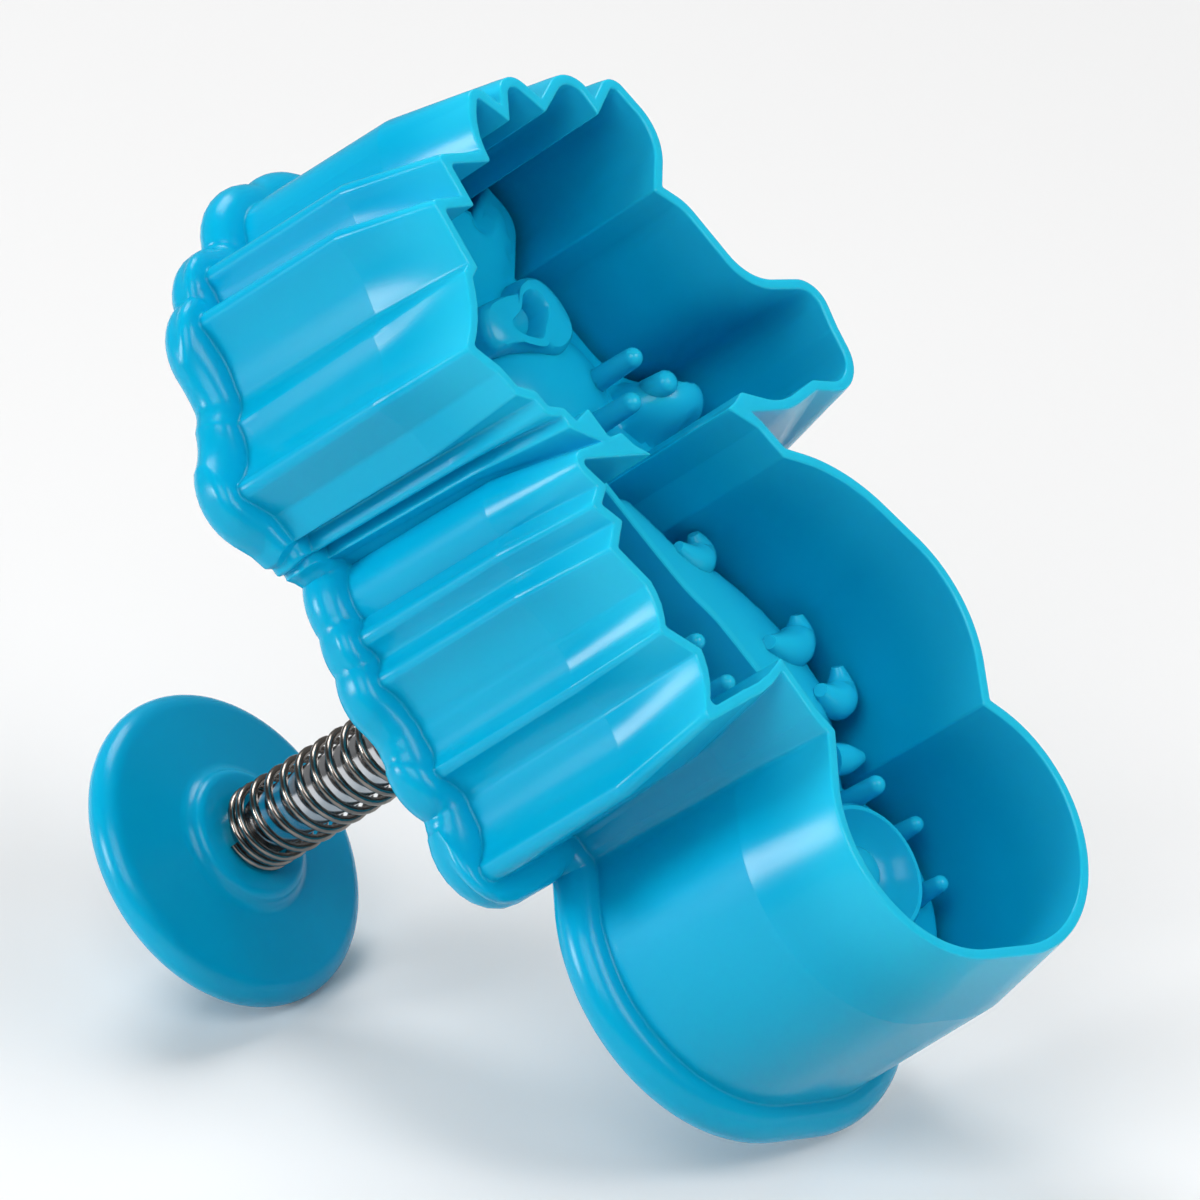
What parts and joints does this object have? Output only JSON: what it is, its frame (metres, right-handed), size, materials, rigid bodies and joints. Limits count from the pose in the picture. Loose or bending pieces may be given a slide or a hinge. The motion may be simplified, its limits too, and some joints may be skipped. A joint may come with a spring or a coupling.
{
  "type": "plunger cutter",
  "caption": "Moulded cookie cutter in a seahorse outline with a relief stamp that slides inside it on a steel rod, pushed by a round knob and returned by a coil spring.",
  "frame": {"origin": "middle of the cutting edge's plane, on the rod's axis, under the centre of the shell's box", "axes": "+Z along the rod from the cutting edge to the knob, +Y towards the crest of the outline, -X towards its snout"},
  "size_m": [0.0499, 0.0894, 0.0715],
  "materials": {
    "blue_plastic": "glossy moulded",
    "rod_steel": "polished",
    "spring_steel": "polished wire"
  },
  "bodies": {
    "shell": {"cutter_shell": "blue_plastic", "return_spring": "spring_steel"},
    "plunger": {"stamp_plate": "blue_plastic", "plunger_rod": "rod_steel", "push_knob": "blue_plastic"}
  },
  "joints": [
    {"name": "plunger_press", "type": "slide", "parent": "shell", "child": "plunger", "axis": [0, 0, -1], "range_m": [0, 0.015], "stiffness_N_per_m": 400, "springref_m": -0.004, "deforming": ["return_spring"]}
  ]
}
